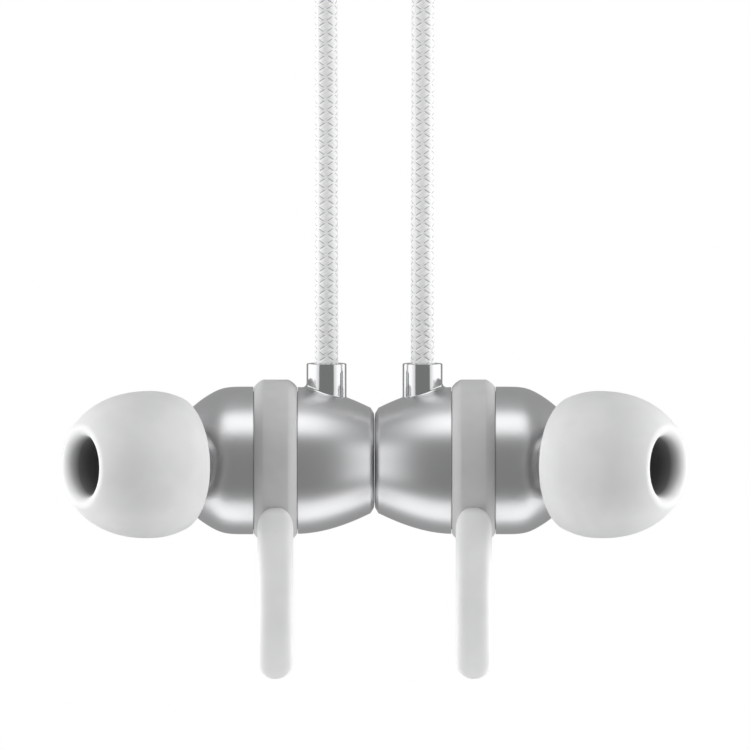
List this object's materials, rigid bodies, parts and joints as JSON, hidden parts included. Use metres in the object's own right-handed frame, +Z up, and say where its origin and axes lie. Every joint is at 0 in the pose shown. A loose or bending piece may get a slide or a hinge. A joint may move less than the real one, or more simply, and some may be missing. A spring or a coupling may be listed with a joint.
{
  "type": "neckband earphones",
  "caption": "Wireless earphones on braided cords from a silicone neckband with pods; metal earbuds with ear wings clasp face to face by magnets.",
  "frame": {"origin": "inner face of the band's back at its middle, where it rests on the back of the neck", "axes": "+Z up, +X to the wearer's left, -Y to the wearer's front; worn pose, the band's plane sloping 40 degrees down to the front, the earbuds hanging clasped together"},
  "size_m": [0.129, 0.1757, 0.348],
  "materials": {
    "shell_metal": "satin, bead-blasted and lightly polished",
    "gland_metal": "polished",
    "tip_silicone": "matte white silicone",
    "sleeve_silicone": "translucent grey silicone",
    "cord_braid": "woven white braid",
    "band_silicone": "matte light grey silicone",
    "pod_plastic": "fine-textured white plastic",
    "cap_metal": "satin",
    "button_plastic": "satin grey plastic",
    "relief_silicone": "matte light grey silicone",
    "screw_steel": "plain steel",
    "port_steel": "plain steel",
    "magnet_nickel": "nickel-plated",
    "coil_copper": "enamelled copper wire",
    "cone_film": "thin polymer film",
    "mesh_steel": "woven steel mesh",
    "gasket_foam": "black foam",
    "bush_silicone": "white silicone",
    "core_steel": "spring steel wire",
    "harness_jacket": "insulated wires",
    "board_laminate": "glass-fibre laminate",
    "switch_plastic": "moulded plastic",
    "battery_pouch": "laminated pouch",
    "light_acrylic": "clear acrylic"
  },
  "bodies": {
    "neck_back": {"band_back": "band_silicone", "left_band_flex": "band_silicone", "right_band_flex": "band_silicone", "core_wire": "core_steel", "band_harness": "harness_jacket"},
    "left_arm": {"left_band_arm": "band_silicone", "left_pod_top": "pod_plastic", "left_pod_bottom": "pod_plastic", "left_pod_screws": "screw_steel", "left_end_cap": "cap_metal", "left_strain_relief": "relief_silicone", "left_cord": "cord_braid", "circuit_board": "board_laminate", "button_switches": "switch_plastic", "charging_port": "port_steel", "microphone": "switch_plastic", "light_pipe": "light_acrylic"},
    "left_earbud": {"left_rear_shell": "shell_metal", "left_front_shell": "shell_metal", "left_nozzle": "shell_metal", "left_nozzle_mesh": "mesh_steel", "left_cord_gland": "gland_metal", "left_cord_bush": "bush_silicone", "left_clasp_magnet": "magnet_nickel", "left_driver_frame": "mesh_steel", "left_driver_magnet": "magnet_nickel", "left_driver_gasket": "gasket_foam"},
    "left_cone": {"left_voice_coil": "coil_copper", "left_diaphragm": "cone_film"},
    "left_tip": {"left_eartip": "tip_silicone"},
    "left_wing": {"left_wing_sleeve": "sleeve_silicone"},
    "right_arm": {"right_band_arm": "band_silicone", "right_pod_top": "pod_plastic", "right_pod_bottom": "pod_plastic", "right_pod_screws": "screw_steel", "right_end_cap": "cap_metal", "right_strain_relief": "relief_silicone", "right_cord": "cord_braid", "battery": "battery_pouch"},
    "right_earbud": {"right_rear_shell": "shell_metal", "right_front_shell": "shell_metal", "right_nozzle": "shell_metal", "right_nozzle_mesh": "mesh_steel", "right_cord_gland": "gland_metal", "right_cord_bush": "bush_silicone", "right_clasp_magnet": "magnet_nickel", "right_driver_frame": "mesh_steel", "right_driver_magnet": "magnet_nickel", "right_driver_gasket": "gasket_foam"},
    "right_cone": {"right_voice_coil": "coil_copper", "right_diaphragm": "cone_film"},
    "right_tip": {"right_eartip": "tip_silicone"},
    "right_wing": {"right_wing_sleeve": "sleeve_silicone"},
    "volume_up": {"volume_up_button": "button_plastic"},
    "multifunction": {"multifunction_button": "button_plastic"},
    "volume_down": {"volume_down_button": "button_plastic"},
    "flap": {"port_flap": "relief_silicone"}
  },
  "joints": [
    {"name": "left_arm_spread", "type": "hinge", "parent": "neck_back", "child": "left_arm", "pos_m": [0.05161, -0.0193, -0.01619], "axis": [0, -0.6428, 0.766], "range_deg": [0, 25], "stiffness_Nm_per_rad": 0.6, "deforming": ["left_band_flex", "core_wire", "band_harness"]},
    {"name": "left_earbud_swing", "type": "hinge", "parent": "left_arm", "child": "left_earbud", "pos_m": [0.0046, -0.15803, -0.238], "axis": [0, -1, 0], "range_deg": [0, 35], "deforming": ["left_cord"]},
    {"name": "left_cone_stroke", "type": "slide", "parent": "left_earbud", "child": "left_cone", "axis": [1, 0, 0], "range_m": [-0.0001, 0.0001], "stiffness_N_per_m": 50},
    {"name": "left_tip_pull", "type": "slide", "parent": "left_earbud", "child": "left_tip", "axis": [0.866, -0.5, 0], "range_m": [0, 0.007]},
    {"name": "left_wing_turn", "type": "hinge", "parent": "left_earbud", "child": "left_wing", "pos_m": [0.00825, -0.158, -0.3249], "axis": [1, 0, 0], "range_deg": [-15, 15]},
    {"name": "right_arm_spread", "type": "hinge", "parent": "neck_back", "child": "right_arm", "pos_m": [-0.05161, -0.0193, -0.01619], "axis": [0, 0.6428, -0.766], "range_deg": [0, 25], "stiffness_Nm_per_rad": 0.6, "deforming": ["right_band_flex", "core_wire", "band_harness"]},
    {"name": "right_earbud_swing", "type": "hinge", "parent": "right_arm", "child": "right_earbud", "pos_m": [-0.0046, -0.15803, -0.238], "axis": [0, 1, 0], "range_deg": [0, 35], "deforming": ["right_cord"]},
    {"name": "right_cone_stroke", "type": "slide", "parent": "right_earbud", "child": "right_cone", "axis": [-1, 0, 0], "range_m": [-0.0001, 0.0001], "stiffness_N_per_m": 50},
    {"name": "right_tip_pull", "type": "slide", "parent": "right_earbud", "child": "right_tip", "axis": [-0.866, -0.5, 0], "range_m": [0, 0.007]},
    {"name": "right_wing_turn", "type": "hinge", "parent": "right_earbud", "child": "right_wing", "pos_m": [-0.00825, -0.158, -0.3249], "axis": [1, 0, 0], "range_deg": [-15, 15]},
    {"name": "volume_up_press", "type": "slide", "parent": "left_arm", "child": "volume_up", "axis": [0, 0.6428, -0.766], "range_m": [0, 0.0004], "stiffness_N_per_m": 1000},
    {"name": "multifunction_press", "type": "slide", "parent": "left_arm", "child": "multifunction", "axis": [0, 0.6428, -0.766], "range_m": [0, 0.0004], "stiffness_N_per_m": 1000},
    {"name": "volume_down_press", "type": "slide", "parent": "left_arm", "child": "volume_down", "axis": [0, 0.6428, -0.766], "range_m": [0, 0.0004], "stiffness_N_per_m": 1000},
    {"name": "flap_open", "type": "hinge", "parent": "left_arm", "child": "flap", "pos_m": [0.04859, -0.11551, -0.09366], "axis": [-0.2419, -0.7433, -0.6237], "range_deg": [0, 110]}
  ]
}
